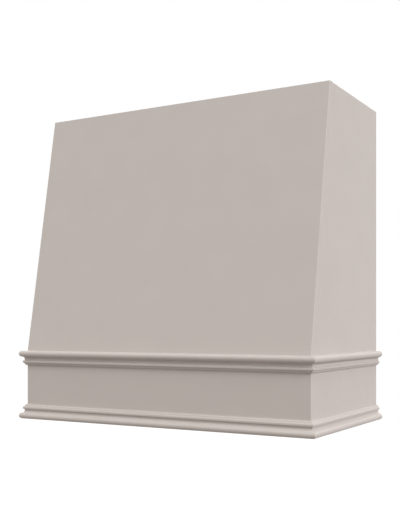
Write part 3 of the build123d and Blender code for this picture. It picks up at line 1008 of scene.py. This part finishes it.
# %% Model the screws
def model_screw(length, flush=False):
    """A screw that points down from height 0, where it bears on the wood or ends flush."""
    head, shank, core, crest, point = 0.0042, 0.0019, 0.0013, 0.00198, 0.0003  # radii
    raised, lip, cone, run_in, rounding = 0.0024, 0.0003, 0.0026, 0.0008, 0.0011
    threaded, tip, last_turn = -0.4 * length, 0.005 - length, 0.0035 - length  # heights
    if flush:
        rings = [(0, head), (-lip, head), (-cone, shank)]
    else:
        rings = [(raised, head), (0, head), (0, shank)]
    face = rings[0][0]
    rings += [(threaded, shank), (threaded - run_in, core), (tip, core), (-length, point)]
    screw = turn_piece(rings)
    if not flush:
        edit(screw)
        pick_edges(screw, lambda a, b: min(a.z, b.z) > face - hair)
        bpy.ops.mesh.bevel(offset=rounding, segments=4)
        bpy.ops.object.mode_set(mode="OBJECT")
    cut_recess(screw, face)
    thread = wind_thread(threaded, last_turn, core, crest)
    select_only(screw, thread)
    bpy.ops.object.join()
    return screw


short, long = 0.03175, 0.04445  # lengths without a raised head
short_screw, long_screw = model_screw(short), model_screw(long)
flush_screw = model_screw(short, flush=True)
print("faces of a screw:", len(short_screw.data.polygons))

# %% [markdown]
# ## Where the screws go
#
# Each group of screws is one node of many solids. A copy of it is merged and separated
# into its screws. Reading the places off a drawing would also do, but then each one
# could be copied wrongly. The points of a screw lie evenly round its axis, so the
# direction in which they spread most is the axis (numpy's svd gives it), and the point
# farthest out from that axis is on the rim of the head, which tells the two ends apart.

# %% Find the screws
import numpy as np


def screw_places(node, length):
    """The place where each screw of a node bears, and the way its head looks."""
    select_only(nodes[node])
    bpy.ops.object.duplicate()
    bpy.ops.object.mode_set(mode="EDIT")
    bpy.ops.mesh.select_all(action="SELECT")
    bpy.ops.mesh.remove_doubles(threshold=0.000001)
    bpy.ops.mesh.separate(type="LOOSE")
    bpy.ops.object.mode_set(mode="OBJECT")
    places = []
    for part in list(bpy.context.selected_objects):
        points = np.array([vertex.co for vertex in part.data.vertices])
        middle = points.mean(axis=0)
        axis = np.linalg.svd(points - middle)[2][0]
        along = (points - middle) @ axis
        out = np.linalg.norm(points - middle - np.outer(along, axis), axis=1)
        if along[out.argmax()] < 0:
            axis, along = -axis, -along
        way = Vector(axis)
        places.append((Vector(middle) + way * (along.min() + length), way))
        bpy.data.objects.remove(part)
    return places


# %% [markdown]
# Each copy gets a turn of its own about its axis, because no driver stops two screws
# alike. The copies of a group are joined, as its solids are one node.

# %% Drive the screws
turn_between = 137.5  # degrees, with which no two screws of a group stop alike


def drive_screws(name, model, length, node):
    """Copy a screw to every place of a node and join the copies."""
    copies = []
    for number, (place, way) in enumerate(screw_places(node, length)):
        select_only(model)
        bpy.ops.object.duplicate()
        screw = bpy.context.object
        turn = Matrix.Rotation(math.radians(turn_between * number), 4, "Z")
        aim = way.to_track_quat("Z", "Y").to_matrix().to_4x4()
        screw.matrix_world = Matrix.Translation(place) @ aim @ turn
        copies.append(screw)
    print(name, "holds", len(copies), "screws")
    select_only(*copies)
    bpy.ops.object.transform_apply(location=True, rotation=True, scale=True)
    bpy.ops.object.join()
    return settle(bpy.context.object, name, smooth_below=35)


# %% [markdown]
# ## Zinc
#
# The screws are plated. Zinc is a dull, slightly warm grey with cloudy spots, and the
# driver leaves fine scratches.

# %% Zinc and the screws
bright_zinc, dull_zinc = (0.62, 0.60, 0.55, 1), (0.47, 0.45, 0.40, 1)
scratch_depth = 0.00002

zinc, tree, shader = new_material("zinc_plating")
given = add_node(tree, "TexCoord").outputs
cloud = stretched_noise(tree, given["Object"], (260, 260, 260))
scratch = stretched_noise(tree, given["Object"], (300, 2600, 2600), detail=1)
colour = mottle(tree, cloud, bright_zinc, dull_zinc)
finish_surface(tree, shader, colour, vary(tree, scratch, 0.26, 0.42), scratch, scratch_depth)
shader.inputs["Metallic"].default_value = 1.0

for name, model, length, node in (
    ("moulding_screw_set", short_screw, short, "moulding_screws"),
    ("knuckle_screw_set", long_screw, long, "knuckle_rail_screws"),
    ("shelf_screw_set", flush_screw, short, "shelf_screws"),
    ("cleat_screw_set", short_screw, short, "shelf_cleat_screws"),
    ("side_screw_set", short_screw, short, "side_panel_screws"),
    ("front_screw_set", short_screw, short, "front_panel_screws"),
    ("pocket_screw_set", short_screw, short, "pocket_screws"),
):
    screws = drive_screws(name, model, length, node)
    screws.data.materials.append(zinc)
    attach(screws, "cover")
    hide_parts(node)
    print(name, len(screws.data.polygons), "faces")
for model in (short_screw, long_screw, flush_screw):
    bpy.data.objects.remove(model)

# %% [markdown]
# ## Glue
#
# The cleats and blocks are glued as well as screwed, and the glue that is pressed out
# dries in the corners as an uneven amber bead. It starts as a thin rod along the
# joint, cut into short lengths, and a noise texture swells and shrinks it, so that it
# stands out here and disappears into the joint there.

# %% A bead of glue
rod_radius, cut_every = 0.0017, 0.004
swell, sunk = 0.0042, 0.56  # the noise moves the rod's face this far, mostly inwards

swelling = bpy.data.textures.new("swelling", "CLOUDS")
swelling.noise_scale = 0.011
swelling.noise_depth = 3


def glue_bead(start, finish):
    """One bead along a joint."""
    start, finish = Vector(start), Vector(finish)
    along = finish - start
    start_clean()
    bpy.ops.mesh.primitive_cylinder_add(
        vertices=8,
        radius=rod_radius,
        depth=along.length,
        location=(start + finish) / 2,
        rotation=along.to_track_quat("Z", "Y").to_euler(),
    )
    bead = bpy.context.object
    bpy.ops.object.transform_apply(location=True, rotation=True)
    edit(bead)
    pick_edges(bead, lambda a, b: (a - b).length > along.length / 2)
    bpy.ops.mesh.subdivide(number_cuts=int(along.length / cut_every))
    bpy.ops.object.mode_set(mode="OBJECT")
    noise = {"texture": swelling, "texture_coords": "LOCAL"}
    apply_modifier(bead, "DISPLACE", strength=swell, mid_level=sunk, **noise)
    return bead


# %% [markdown]
# The beads lie in the inner corners where the knuckle rail, the shelf cleats and the
# corner pieces meet a board. Their ends are worked out from the boxes of those pieces.
# In the sloping corners they follow the front, at a depth behind its painted face.

# %% Where the glue lies
block = 0.0254  # section of the corner cleats and blocks
wall = half_width - board
apron_back = apron_front + board
rail_foot, rail_head = (corner.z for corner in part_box("knuckle_rail"))
slope_foot, slope_head = (corner.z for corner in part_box("corner_cleat_left"))
cleat_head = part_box("shelf_cleat_front")[1].z
cleat_front, cleat_back = (corner.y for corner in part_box("shelf_cleat_left"))


def inside_front(z, inset):
    """Y of the plane that lies inset behind the face of the sloping front."""
    return apron_front + (z - knuckle) * lean + inset * math.hypot(1, lean)


def sloping(x, inset):
    """A line along a corner cleat, from its foot to its head."""
    return [(x, inside_front(z, inset), z) for z in (slope_foot, slope_head)]


def upright(x, y):
    """A line along a corner block, from the shelf cleats to the knuckle rail."""
    return [(x, y, z) for z in (cleat_head, rail_foot)]


inner = wall - block  # to the corner cleats and blocks, and wall is to the side panels
glue_lines = {
    "glue_knuckle_rail": [
        ((-inner, y, z), (inner, y, z))
        for y, z in ((apron_back, rail_foot), (inside_front(rail_head, board), rail_head))
    ],
    "glue_shelf_cleats": [((-wall, apron_back, cleat_head), (wall, apron_back, cleat_head))],
}
for side, sign in (("left", -1), ("right", 1)):
    glue_lines["glue_shelf_cleats"].append(
        [(sign * wall, y, cleat_head) for y in (cleat_front, cleat_back)]
    )
    glue_lines[f"glue_corner_{side}"] = [
        sloping(sign * inner, board),
        sloping(sign * wall, board + block),
        upright(sign * inner, apron_back),
        upright(sign * wall, apron_back + block),
    ]
print("beads of glue:", sum(len(lines) for lines in glue_lines.values()))

# %% [markdown]
# Dried glue is amber where it is thick and paler where it is thin, and its skin is
# smooth enough to shine. All beads along one joint are joined into one piece.

# %% Lay the glue
pale_glue, amber_glue = (0.66, 0.52, 0.27, 1), (0.50, 0.31, 0.11, 1)
skin_depth = 0.00008

dried_glue, tree, shader = new_material("dried_glue")
given = add_node(tree, "TexCoord").outputs
thick = stretched_noise(tree, given["Object"], (130, 130, 130))
skin = stretched_noise(tree, given["Object"], (700, 700, 700))
colour = mottle(tree, thick, pale_glue, amber_glue)
finish_surface(tree, shader, colour, vary(tree, skin, 0.22, 0.38), skin, skin_depth)

for name, lines in glue_lines.items():
    beads = [glue_bead(*line) for line in lines]
    select_only(*beads)
    bpy.ops.object.join()
    glue = settle(bpy.context.object, name, smooth_below=60)
    glue.data.materials.append(dried_glue)
    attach(glue, "cover")
    print(name, len(lines), "beads,", len(glue.data.polygons), "faces")
